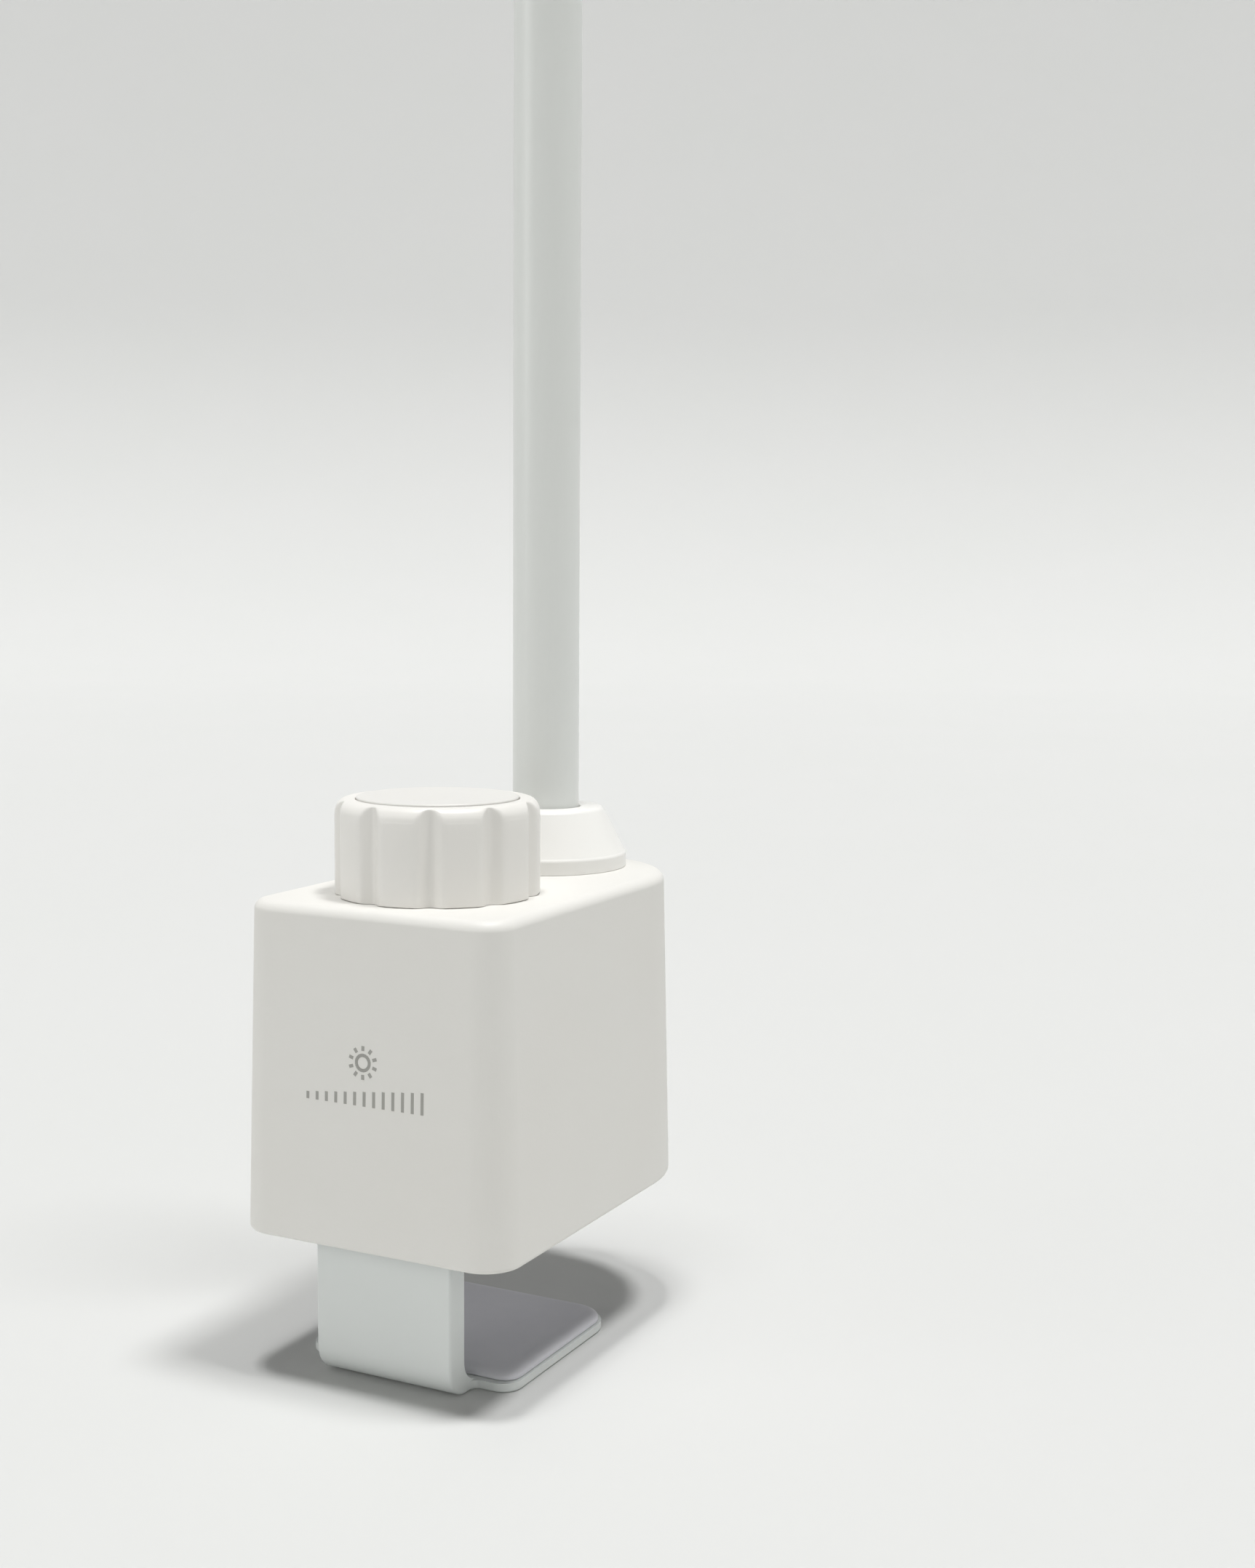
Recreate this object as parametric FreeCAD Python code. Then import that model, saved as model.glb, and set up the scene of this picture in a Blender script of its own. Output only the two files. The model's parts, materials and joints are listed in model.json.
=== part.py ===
import FreeCAD, Part
import math
import os

from FreeCAD import Vector

# Clamp-on reading lamp: a box-shaped clamp housing with a fluted knob and a
# pressed-steel lower jaw, a straight pole that swivels in a conical collar, and
# a slim light bar on a friction hinge. Millimetres, +Z up. The origin is the
# middle of the upper jaw's rubber face, on the clamp screw's axis, so z = 0 is
# the top of the desk. -Y is the printed front, where the jaw's strap hangs down
# past the desk's edge, and +Y runs over the desk.

# ---- clamp housing -------------------------------------------------------
housing_width = 51.8            # at the lower edge
housing_front = -23.0
housing_rear = 54.7
housing_height = 56.0
housing_base = 0.6              # the rubber stands this far proud of the shell
draft_deg = 1.44
front_corner_r = 6.5
rear_corner_r = 22.4
top_edge_r = 1.8
bottom_edge_r = 0.75
wall = 2.2
top_wall = 2.4
plate_thick = 2.5
plate_gap = 0.15

housing_top = housing_base + housing_height
ceiling = housing_top - top_wall
plate_top = housing_base + plate_thick

# ---- fasteners and fits --------------------------------------------------
running = 0.05                  # radial clearance of a shaft in its bush
clear = 0.3                     # gap between pieces that move past each other
screw_r = 1.5
small_screw_r = 1.25
boss_r = 3.0
front_boss = (19.5, -16.5)
rear_boss = (15.2, 44.0)
bosses = [(side * x, y) for x, y in (front_boss, rear_boss) for side in (-1, 1)]

# ---- clamp screw and knob ------------------------------------------------
thread_r = 4.0
thread_root_r = 3.4
thread_pitch = 1.25
thread_low = 6.6
thread_high = 50.0
pilot_r = 2.5
journal_r = 4.5
thrust_collar_r = 7.5
bush_r = 6.5
bush_flange_r = 9.0
flange_thick = 1.5
washer_r = 8.5
washer_thick = 0.8
washer_proud = 0.1
knob_r = 17.25
knob_height = 16.25
knob_gap = 0.25
knob_shoulder_drop = 2.6
knob_shoulder_in = 1.8
flute_count = 10
flute_width = 3.4
flute_depth = 1.2
flute_phase_deg = 7.1
insert_r = 6.0
insert_length = 9.0
disc_r = 13.8
disc_thick = 1.4
disc_proud = 0.35               # the disc stands this far above the knob's rim

knob_base = housing_top + knob_gap
knob_top = knob_base + knob_height
knob_rim = knob_top - disc_proud
washer_base = housing_top - washer_thick + washer_proud
flange_base = ceiling - flange_thick

# ---- lower jaw -----------------------------------------------------------
sheet = 1.6
strap_half = 13.2
strap_front = -17.5
flange_depth = 4.15
bend_r = 5.0                    # outside of the bend between strap and foot
foot_bottom = -24.1
foot_half = 20.4
foot_front = -10.3
foot_rear = 26.0
foot_front_r = 3.5
foot_rear_r = 6.0
web_r = 4.0
relief_r = 1.5
tab_top = 31.0
tab_half = 11.0
tab_rear = 8.0
tab_bend_r = 3.0
strap_edge_r = 0.5
nut_height = 6.5
nut_depth = 14.0
rivet_x = 8.2
rivet_r = 1.5
pad_thick = 1.5
pad_inset = 0.5
guide_wall = 2.2
guide_height = 9.4

flange_rear = strap_front + flange_depth
foot_top = foot_bottom + sheet
jaw_face = foot_top + pad_thick

# ---- upper jaw pad -------------------------------------------------------
upper_pad_half = 17.0
upper_pad_front = -8.0
upper_pad_rear = 30.0
upper_pad_thick = 1.6
upper_pad_corner_r = 4.0

# ---- pole and collar -----------------------------------------------------
pole_y = 37.3
pole_r = 6.1
pole_bore_r = 5.1
pole_bottom = 42.6
pole_top = 320.0
collar_r = 14.9
collar_band = 3.0
collar_height = 11.1
collar_top_r = 10.5
collar_step = 0.2
pole_bush_r = 7.2
pole_flange_r = 8.4
collar_screw_circle = 11.3
collar_screw_angles = (90, -30, -150)
retainer_r = 9.0
retainer_height = 5.0
wire_r = 1.5

# ---- electrics in the housing --------------------------------------------
board_thick = 1.6
board_half = 11.5
board_front = 16.0
board_rear = 48.0
board_bottom = 9.4
peg_r = 1.2
pegs = [(side * 9.5, y) for y in (18.5, 45.5) for side in (-1, 1)]
jack_z = 16.2
jack_barrel_r = 4.0
jack_socket_r = 2.75
jack_pin_r = 1.0
jack_depth = 9.0
jack_end = 56.6
jack_nut_front = 54.5

board_top = board_bottom + board_thick

# ---- light bar -----------------------------------------------------------
hinge_z = 336.0
yoke_slot = 11.5                # depth of the fork below the hinge's axis
tongue_rise = 3.0               # half the height of the bracket's arm
ear_in = 3.3
ear_out = 6.1
tongue_half = 2.2
disc_washer_r = 5.2
hinge_bolt_r = 2.5
bar_half = 17.0
bar_thick = 12.0
bar_start = pole_y + 16.0
bar_length = 250.0
bar_wall = 1.6
bar_edge_r = 3.0
cap_thick = 3.0
cap_plug = 4.0
diffuser_thick = 2.0
bracket_thick = 1.6
button_y = 86.0
button_r = 5.0
button_travel = 0.6
led_rows = (-5.5, 5.5)
led_per_row = 16
led_board_start = 96.0
led_first_y = 102.0
led_pitch = 12.4
led_size = (2.8, 3.5, 0.75)

bar_bottom = hinge_z - bar_thick / 2
bar_top = hinge_z + bar_thick / 2
bar_ceiling = bar_top - bar_wall
bar_end = bar_start + bar_length
bracket_screws = [(side * 5.5, bar_start + 17.0) for side in (-1, 1)]
spacer_screws = [(side * 10.0, button_y) for side in (-1, 1)]
control_top = hinge_z           # upper face of the small board under the button


# ---- shape helpers -------------------------------------------------------
def box(x0, x1, y0, y1, z0, z1):
    return Part.makeBox(x1 - x0, y1 - y0, z1 - z0, Vector(x0, y0, z0))


def centred(half, y0, y1, z0, z1):
    return box(-half, half, y0, y1, z0, z1)


def disc(radius, z0, z1, x=0.0, y=0.0):
    return Part.makeCylinder(radius, z1 - z0, Vector(x, y, z0))


def tube(inner, outer, z0, z1, x=0.0, y=0.0):
    return disc(outer, z0, z1, x, y).cut(disc(inner, z0, z1, x, y))


def rod_x(radius, x0, x1, y, z):
    return Part.makeCylinder(radius, x1 - x0, Vector(x0, y, z), Vector(1, 0, 0))


def rod_y(radius, y0, y1, x, z):
    return Part.makeCylinder(radius, y1 - y0, Vector(x, y0, z), Vector(0, 1, 0))


def turned(profile, x=0.0, y=0.0):
    """Solid of revolution about a vertical axis from (radius, z) points."""
    points = [Vector(x + r, y, z) for r, z in profile]
    face = Part.Face(Part.makePolygon(points + points[:1]))
    return face.revolve(Vector(x, y, 0), Vector(0, 0, 1), 360)


def rounded_wire(half, front, rear, r_front, r_rear, z):
    """Rectangle with one corner radius at the front and one at the rear."""
    corners = (
        (half - r_front, front + r_front, r_front, -90),
        (half - r_rear, rear - r_rear, r_rear, 0),
        (r_rear - half, rear - r_rear, r_rear, 90),
        (r_front - half, front + r_front, r_front, 180),
    )
    arcs = []
    for cx, cy, radius, start in corners:
        angles = [math.radians(start + step) for step in (0, 45, 90)]
        points = [Vector(cx + radius * math.cos(a), cy + radius * math.sin(a), z) for a in angles]
        arcs.append(points)
    edges = []
    for here, following in zip(arcs, arcs[1:] + arcs[:1]):
        edges.append(Part.Arc(*here).toShape())
        if here[2].distanceToPoint(following[0]) > 1e-6:
            edges.append(Part.LineSegment(here[2], following[0]).toShape())
    return Part.Wire(edges)


def slab(half, front, rear, r_front, r_rear, z0, z1):
    face = Part.Face(rounded_wire(half, front, rear, r_front, r_rear, z0))
    return face.extrude(Vector(0, 0, z1 - z0))


def drafted(grow, z0, z1):
    """The housing's tapering plan between two heights, grown by a wall's offset."""
    wires = []
    for z in (z0, z1):
        offset = grow - (z - housing_base) * math.tan(math.radians(draft_deg))
        wires.append(rounded_wire(housing_width / 2 + offset, housing_front - offset,
                                  housing_rear + offset, front_corner_r + offset,
                                  rear_corner_r + offset, z))
    return Part.makeLoft(wires, True, True)


def level_edges(shape, z):
    return [e for e in shape.Edges if abs(e.BoundBox.ZMin - z) < 1e-4 and abs(e.BoundBox.ZMax - z) < 1e-4]


def upright_edges(shape, x, y):
    """Vertical edges at the plan positions (x, y) and (-x, y)."""
    found = []
    for edge in shape.Edges:
        bounds = edge.BoundBox
        upright = bounds.ZLength > 1.0 and bounds.XLength < 1e-4 and bounds.YLength < 1e-4
        if upright and abs(abs(bounds.XMin) - x) < 1e-4 and abs(bounds.YMin - y) < 1e-4:
            found.append(edge)
    return found


def side_profile(points, x0, x1):
    """Extrude along X a side view given as (y, z) points, with arcs as (mid, end) pairs."""
    start = Vector(x0, *points[0])
    here = start
    edges = []
    for item in points[1:]:
        if len(item) == 2 and isinstance(item[0], tuple):
            middle = Vector(x0, *item[0])
            there = Vector(x0, *item[1])
            edges.append(Part.Arc(here, middle, there).toShape())
        else:
            there = Vector(x0, *item)
            edges.append(Part.LineSegment(here, there).toShape())
        here = there
    edges.append(Part.LineSegment(here, start).toShape())
    return Part.Face(Part.Wire(edges)).extrude(Vector(x1 - x0, 0, 0))


def on_circle(cy, cz, radius, degrees):
    angle = math.radians(degrees)
    return (cy + radius * math.cos(angle), cz + radius * math.sin(angle))


def pan_screw(x, y, seat, head_r, head_thick, shank_r, shank):
    """Screw driven upwards: its head hangs below the seat and has a cross recess."""
    head = disc(head_r, seat - head_thick, seat, x, y)
    low = seat - head_thick
    slot = head_r * 0.62
    blade = 0.35
    recess = box(x - slot, x + slot, y - blade, y + blade, low, low + head_thick * 0.6)
    recess = recess.fuse(box(x - blade, x + blade, y - slot, y + slot, low, low + head_thick * 0.6))
    return head.cut(recess).fuse(disc(shank_r, seat, seat + shank, x, y))


# ---- clamp housing pieces ------------------------------------------------
def housing_shell():
    body = drafted(0, housing_base, housing_top)
    body = body.makeFillet(top_edge_r, level_edges(body, housing_top))
    body = body.makeFillet(bottom_edge_r, level_edges(body, housing_base))
    shell = body.cut(drafted(-wall, housing_base - 1, ceiling))
    for x, y in bosses:
        shell = shell.fuse(disc(boss_r, plate_top, ceiling + 1, x, y))
        shell = shell.cut(disc(screw_r, plate_top - 1, plate_top + 10, x, y))
    shell = shell.cut(disc(bush_r, ceiling - 1, housing_top + 1))
    shell = shell.cut(disc(washer_r, washer_base, housing_top + 1))
    shell = shell.cut(disc(pole_bush_r, ceiling - 1, housing_top + 1, 0, pole_y))
    for x, y in collar_screw_places():
        shell = shell.cut(disc(screw_r, ceiling - 1, housing_top + 1, x, y))
    return shell.cut(rod_y(jack_barrel_r, housing_rear - 8, housing_rear + 2, 0, jack_z))


def base_plate():
    plate = drafted(-wall - plate_gap, housing_base, plate_top)
    plate = plate.cut(upper_pad())
    plate = plate.cut(centred(strap_half + 0.6, strap_front - 0.6, flange_rear + 0.6, 0, plate_top + 1))
    for x, y in bosses:
        plate = plate.cut(disc(screw_r, 0, plate_top + 1, x, y))
        plate = plate.cut(disc(2.9, 0, housing_base + 1.9, x, y))
    plate = plate.fuse(disc(5.0, plate_top - 1, plate_top + 3, 0, 0))
    plate = plate.cut(disc(pilot_r + running, plate_top + 0.2, plate_top + 4, 0, 0))
    for x, y in pegs:
        plate = plate.fuse(disc(2.0, plate_top - 1, board_bottom, x, y))
        plate = plate.fuse(disc(peg_r, board_bottom - 1, board_top + 0.8, x, y))
    return plate


def upper_pad():
    return slab(upper_pad_half, upper_pad_front, upper_pad_rear, upper_pad_corner_r,
                upper_pad_corner_r, 0, upper_pad_thick)


def base_screws():
    seat = housing_base + 1.9
    return Part.makeCompound([pan_screw(x, y, seat, 2.8, 1.7, screw_r, 9.0) for x, y in bosses])


def jaw_guide():
    outer_half = strap_half + clear + guide_wall
    front = strap_front - clear - guide_wall
    rear = flange_rear + clear + guide_wall
    top = plate_top + guide_height
    frame = centred(outer_half, front, rear, plate_top, top)
    passage = centred(strap_half + clear, strap_front - clear, flange_rear + clear, plate_top - 1, top + 1)
    return frame.cut(passage)


def screw_bush():
    inner = journal_r + running
    return tube(inner, bush_r, flange_base, washer_base).fuse(tube(inner, bush_flange_r, flange_base, ceiling))


def thrust_washer():
    return tube(journal_r + clear, washer_r, washer_base, washer_base + washer_thick)


# ---- knob and clamp screw ------------------------------------------------
def clamp_screw():
    """Lead screw with its thread drawn as rings, held up by the knob and its thrust collar."""
    profile = [(0, plate_top + 0.5), (pilot_r, plate_top + 0.5), (pilot_r, thread_low)]
    turns = int((thread_high - thread_low) / thread_pitch)
    for turn in range(turns):
        low = thread_low + turn * thread_pitch
        profile.append((thread_root_r, low))
        profile.append((thread_r, low + thread_pitch * 0.4))
        profile.append((thread_r, low + thread_pitch * 0.6))
    collar_base = flange_base - clear - flange_thick
    profile += [
        (thread_root_r, thread_low + turns * thread_pitch),
        (thread_root_r, collar_base),
        (thrust_collar_r, collar_base),
        (thrust_collar_r, collar_base + flange_thick),
        (journal_r, collar_base + flange_thick),
        (journal_r, knob_base),
        (thread_r, knob_base),
        (thread_r, knob_base + insert_length),
        (0, knob_base + insert_length),
    ]
    return turned(profile)


def clamp_knob():
    shoulder = knob_rim - knob_shoulder_drop
    outline = [
        Vector(0, 0, knob_base),
        Vector(knob_r - 0.4, 0, knob_base),
        Vector(knob_r, 0, knob_base + 0.4),
        Vector(knob_r, 0, shoulder),
    ]
    rim = Vector(knob_r - knob_shoulder_in, 0, knob_rim)
    bulge = Vector(knob_r - 0.45, 0, knob_rim - 0.95)
    edges = [Part.LineSegment(a, b).toShape() for a, b in zip(outline[:-1], outline[1:])]
    edges.append(Part.Arc(outline[-1], bulge, rim).toShape())
    edges.append(Part.LineSegment(rim, Vector(0, 0, knob_rim)).toShape())
    edges.append(Part.LineSegment(Vector(0, 0, knob_rim), outline[0]).toShape())
    knob = Part.Face(Part.Wire(edges)).revolve(Vector(0, 0, 0), Vector(0, 0, 1), 360)
    flute_r = (flute_width ** 2 / 4 + flute_depth ** 2) / (2 * flute_depth)
    reach = knob_r - flute_depth + flute_r
    for flute in range(flute_count):
        angle = math.radians(flute_phase_deg + flute * 360 / flute_count)
        knob = knob.cut(disc(flute_r, knob_base - 1, knob_top + 1, reach * math.cos(angle), reach * math.sin(angle)))
    knob = knob.cut(tube(insert_r + 3, knob_r - 4.0, knob_base - 1, knob_top - 4.5))
    knob = knob.cut(disc(insert_r, knob_base - 1, knob_base + insert_length))
    return knob.cut(disc(disc_r, knob_top - disc_thick, knob_top + 1))


def knob_insert():
    return tube(thread_r, insert_r, knob_base, knob_base + insert_length)


def knob_disc():
    body = disc(disc_r - 0.15, knob_top - disc_thick, knob_top)
    return body.makeChamfer(0.25, level_edges(body, knob_top))


# ---- lower jaw -----------------------------------------------------------
def jaw_strap():
    inner_front = strap_front + sheet
    bend_y = strap_front + bend_r
    bend_z = foot_bottom + bend_r
    top_y = strap_front + tab_bend_r
    top_z = tab_top - tab_bend_r
    inner_bend = bend_r - sheet
    inner_top = tab_bend_r - sheet
    web = [
        (foot_front + 2, foot_bottom),
        (bend_y, foot_bottom),
        (on_circle(bend_y, bend_z, bend_r, 225), (strap_front, bend_z)),
        (strap_front, top_z),
        (on_circle(top_y, top_z, tab_bend_r, 135), (top_y, tab_top)),
        (top_y + 1, tab_top),
        (top_y + 1, tab_top - sheet),
        (top_y, tab_top - sheet),
        (on_circle(top_y, top_z, inner_top, 135), (inner_front, top_z)),
        (inner_front, bend_z),
        (on_circle(bend_y, bend_z, inner_bend, 225), (bend_y, foot_top)),
        (foot_front + 2, foot_top),
    ]
    tab = centred(tab_half, top_y, tab_rear, tab_top - sheet, tab_top)
    web_start = flange_rear + web_r
    side = [
        (web_start, foot_bottom),
        (bend_y, foot_bottom),
        (on_circle(bend_y, bend_z, bend_r, 225), (strap_front, bend_z)),
        (strap_front, top_z - 1),
        (flange_rear, top_z - 1),
        (flange_rear, foot_top + web_r),
        (on_circle(web_start, foot_top + web_r, web_r, 225), (web_start, foot_top)),
    ]
    jaw = side_profile(web, -strap_half, strap_half)
    jaw = jaw.fuse(side_profile(side, strap_half - sheet, strap_half))
    jaw = jaw.fuse(side_profile(side, -strap_half, sheet - strap_half))
    jaw = jaw.fuse(slab(foot_half, foot_front, foot_rear, foot_front_r, foot_rear_r, foot_bottom, foot_top))
    jaw = jaw.fuse(tab).removeSplitter()
    jaw = jaw.makeFillet(relief_r, upright_edges(jaw, strap_half, foot_front))
    jaw = jaw.makeFillet(strap_edge_r, upright_edges(jaw, strap_half, strap_front))
    jaw = jaw.cut(disc(thread_r + 0.6, tab_top - 3, tab_top + 1))
    for side_x in (-rivet_x, rivet_x):
        jaw = jaw.cut(disc(rivet_r, tab_top - 3, tab_top + 1, side_x, 0))
    return jaw


def jaw_nut():
    top = tab_top - sheet
    block = slab(tab_half, -nut_depth / 2, nut_depth / 2, 2, 2, top - nut_height, top)
    block = block.cut(disc(thread_r + running, top - nut_height - 1, top + 1))
    for side_x in (-rivet_x, rivet_x):
        block = block.cut(disc(rivet_r, top - nut_height - 1, top + 1, side_x, 0))
    return block


def jaw_rivets():
    low = tab_top - sheet - nut_height
    rivets = []
    for x in (-rivet_x, rivet_x):
        rivets.append(disc(rivet_r, low, tab_top, x, 0).fuse(disc(2.6, low - 0.9, low, x, 0)))
    return Part.makeCompound(rivets)


def jaw_pad():
    pad = slab(foot_half - pad_inset, flange_rear + web_r + pad_inset / 2, foot_rear - pad_inset,
               foot_front_r - pad_inset, foot_rear_r - pad_inset, foot_top, jaw_face)
    return pad.makeFillet(0.5, level_edges(pad, jaw_face))


# ---- collar and pole -----------------------------------------------------
def collar_screw_places():
    places = []
    for degrees in collar_screw_angles:
        angle = math.radians(degrees)
        places.append((collar_screw_circle * math.cos(angle), pole_y + collar_screw_circle * math.sin(angle)))
    return places


def pole_collar():
    band_top = housing_top + collar_band
    top = housing_top + collar_height
    lip = top - 1.5
    collar = turned([
        (pole_bush_r, housing_top),
        (collar_r, housing_top),
        (collar_r, band_top - 0.3),
        (collar_r - collar_step, band_top),
        (collar_top_r + 0.4, top - 0.3),
        (collar_top_r, top),
        (pole_r + clear, top),
        (pole_r + clear, lip),
        (pole_bush_r, lip),
    ], 0, pole_y)
    for x, y in collar_screw_places():
        collar = collar.cut(disc(screw_r, housing_top - 1, housing_top + 4.4, x, y))
    return collar


def collar_screws():
    screws = [pan_screw(x, y, ceiling, 2.4, 1.8, screw_r, top_wall + 4.0) for x, y in collar_screw_places()]
    return Part.makeCompound(screws)


def pole_bush():
    inner = pole_r + running
    top = housing_top + collar_height - 1.5
    sleeve = tube(inner, pole_bush_r, flange_base, top, 0, pole_y)
    return sleeve.fuse(tube(inner, pole_flange_r, flange_base, ceiling, 0, pole_y))


def friction_washer():
    return tube(pole_r + clear, pole_flange_r, flange_base - washer_thick, flange_base, 0, pole_y)


def pole_retainer():
    top = flange_base - washer_thick - clear
    ring = tube(pole_r, retainer_r, top - retainer_height, top, 0, pole_y)
    return ring.cut(rod_x(screw_r, -retainer_r - 1, retainer_r + 1, pole_y, top - retainer_height / 2))


def retainer_grubs():
    middle = flange_base - washer_thick - clear - retainer_height / 2
    left = rod_x(screw_r, -retainer_r + 0.4, -pole_r - 0.25, pole_y, middle)
    right = rod_x(screw_r, pole_r + 0.25, retainer_r - 0.4, pole_y, middle)
    return Part.makeCompound([left, right])


def pole_tube():
    return tube(pole_bore_r, pole_r, pole_bottom, pole_top, 0, pole_y)


def wire_pole():
    return disc(wire_r, 34.0, hinge_z - yoke_slot + 1.0, 0, pole_y)


def wire_plug():
    return centred(4.0, pole_y - 3.0, pole_y + 3.0, 26.0, 34.0)


# ---- electrics in the housing --------------------------------------------
def wire_base():
    return disc(wire_r, board_top + 6.0, 26.0 - clear, 0, pole_y)


def driver_board():
    board = slab(board_half, board_front, board_rear, 1.5, 1.5, board_bottom, board_top)
    for x, y in pegs:
        board = board.cut(disc(peg_r, board_bottom - 1, board_top + 1, x, y))
    return board


def driver_parts():
    """Coil, capacitor, controller chip and the header for the pole's lead."""
    coil = disc(4.0, board_top, board_top + 5.5, -5.0, 24.5)
    capacitor = disc(3.2, board_top, board_top + 10.0, 5.5, 23.0)
    chip = box(2.0, 8.0, 28.5, 32.5, board_top, board_top + 1.6)
    header = centred(4.0, pole_y - 3.0, pole_y + 3.0, board_top, board_top + 6.0)
    return Part.makeCompound([coil, capacitor, chip, header])


def dc_jack():
    body = centred(5.5, 42.0, 51.5, board_top, jack_z + 5.3)
    body = body.fuse(rod_y(jack_barrel_r, 51.0, jack_end, 0, jack_z))
    body = body.cut(rod_y(jack_socket_r, jack_end - jack_depth, jack_end + 1, 0, jack_z))
    return body.fuse(rod_y(jack_pin_r, jack_end - jack_depth - 1, jack_end - 1.0, 0, jack_z))


def jack_nut():
    nut = rod_y(6.2, jack_nut_front, jack_nut_front + 1.6, 0, jack_z)
    return nut.cut(rod_y(jack_barrel_r, jack_nut_front - 1, jack_nut_front + 3, 0, jack_z))


# ---- hinge at the pole's top ---------------------------------------------
def yoke():
    slot_floor = hinge_z - yoke_slot
    body = disc(pole_bore_r, pole_top - 16, pole_top, 0, pole_y)
    body = body.fuse(disc(pole_r + 0.7, pole_top, pole_top + 3, 0, pole_y))
    body = body.fuse(box(-ear_out, ear_out, pole_y - ear_out, pole_y + ear_out, pole_top + 2, hinge_z))
    body = body.fuse(rod_x(ear_out, -ear_out, ear_out, pole_y, hinge_z))
    body = body.cut(box(-ear_in, ear_in, pole_y - 9, pole_y + 9, slot_floor, hinge_z + 9))
    body = body.cut(rod_x(hinge_bolt_r, -9, 9, pole_y, hinge_z))
    return body.cut(disc(wire_r + 0.5, pole_top - 17, slot_floor + 1, 0, pole_y)).removeSplitter()


def hinge_bolt():
    shank = rod_x(hinge_bolt_r, -ear_out - 2.0, ear_out, pole_y, hinge_z)
    head = rod_x(4.6, ear_out, ear_out + 2.2, pole_y, hinge_z)
    socket = Part.makeBox(1.4, 3.0, 3.0, Vector(ear_out + 0.9, pole_y - 1.5, hinge_z - 1.5))
    return shank.fuse(head).cut(socket)


def hinge_nut():
    nut = rod_x(4.6, -ear_out - 2.8, -ear_out, pole_y, hinge_z)
    return nut.cut(rod_x(hinge_bolt_r, -ear_out - 2.0, -ear_out + 1, pole_y, hinge_z))


def hinge_discs():
    discs = []
    for x0, x1 in ((-ear_in + clear, -tongue_half), (tongue_half, ear_in - clear)):
        ring = rod_x(disc_washer_r, x0, x1, pole_y, hinge_z)
        discs.append(ring.cut(rod_x(hinge_bolt_r + running, x0, x1, pole_y, hinge_z)))
    return Part.makeCompound(discs)


# ---- light bar -----------------------------------------------------------
def bar_section(y0, y1):
    """Stretch of the bar's outer section: flat underside, rounded upper edges."""
    blank = centred(bar_half, y0, y1, bar_bottom, bar_top)
    long_edges = [e for e in level_edges(blank, bar_top) if e.BoundBox.XLength < 1e-4]
    return blank.makeFillet(bar_edge_r, long_edges)


def head_bracket():
    hub = rod_x(5.8, -tongue_half, tongue_half, pole_y, hinge_z)
    inside = bar_start + cap_thick + cap_plug
    arm = centred(tongue_half, pole_y, inside + 5, hinge_z - tongue_rise, hinge_z + tongue_rise)
    riser = centred(tongue_half, inside, inside + 5, hinge_z, bar_ceiling)
    plate = centred(9.0, inside, inside + 15, bar_ceiling - bracket_thick, bar_ceiling)
    bracket = hub.fuse([arm, riser, plate])
    bracket = bracket.cut(rod_x(hinge_bolt_r + running, -9, 9, pole_y, hinge_z))
    for x, y in bracket_screws:
        bracket = bracket.cut(disc(small_screw_r, bar_ceiling - 3, bar_ceiling + 1, x, y))
    return bracket.removeSplitter()


def head_channel():
    y0 = bar_start + cap_thick
    y1 = bar_end - cap_thick
    channel = bar_section(y0, y1)
    channel = channel.cut(centred(bar_half - bar_wall, y0 - 1, y1 + 1, bar_bottom - 1, bar_ceiling))
    channel = channel.cut(disc(button_r + 0.35, bar_ceiling - 1, bar_top + 1, 0, button_y))
    for x, y in bracket_screws + spacer_screws:
        channel = channel.cut(disc(small_screw_r, bar_ceiling - 1, bar_ceiling + 1.0, x, y))
    return channel


def end_cap(face, direction):
    """Moulded cap: a plate outside the channel and a plug inside it, above the diffuser."""
    y0, y1 = sorted((face, face + direction * cap_thick))
    cap = bar_section(y0, y1)
    upright = upright_edges(cap, bar_half, face)
    cap = cap.makeFillet(2.5, upright)
    inner = face + direction * cap_thick
    p0, p1 = sorted((inner, inner + direction * cap_plug))
    plug = centred(bar_half - bar_wall, p0, p1, bar_bottom + diffuser_thick + 0.7, bar_ceiling - 0.2)
    return cap.fuse(plug)


def cap_inner():
    cap = end_cap(bar_start, 1)
    inside = bar_start + cap_thick + cap_plug
    return cap.cut(centred(tongue_half, bar_start - 1, inside + 1, hinge_z - tongue_rise, hinge_z + tongue_rise))


def cap_outer():
    return end_cap(bar_end, -1)


def diffuser():
    low = bar_bottom + 0.4
    return centred(bar_half - bar_wall, bar_start + cap_thick, bar_end - cap_thick, low, low + diffuser_thick)


def led_board():
    return centred(11.0, led_board_start, bar_end - cap_thick - cap_plug - 1, bar_ceiling - board_thick, bar_ceiling)


def led_chips():
    width, length, thick = led_size
    top = bar_ceiling - board_thick
    chips = []
    for x in led_rows:
        for index in range(led_per_row):
            y = led_first_y + index * led_pitch
            chips.append(box(x - width / 2, x + width / 2, y, y + length, top - thick, top))
    return Part.makeCompound(chips)


def control_board():
    board = centred(13.0, button_y - 6.5, button_y + 6.5, control_top - board_thick, control_top)
    for x, y in spacer_screws:
        board = board.cut(disc(small_screw_r, control_top - 3, control_top + 1, x, y))
    return board


def board_spacers():
    return Part.makeCompound([tube(small_screw_r, 2.4, control_top, bar_ceiling, x, y) for x, y in spacer_screws])


def tact_switch():
    body = box(-3, 3, button_y - 3, button_y + 3, control_top, control_top + 1.0)
    return body.fuse(disc(1.5, control_top, control_top + 1.4, 0, button_y))


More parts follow.
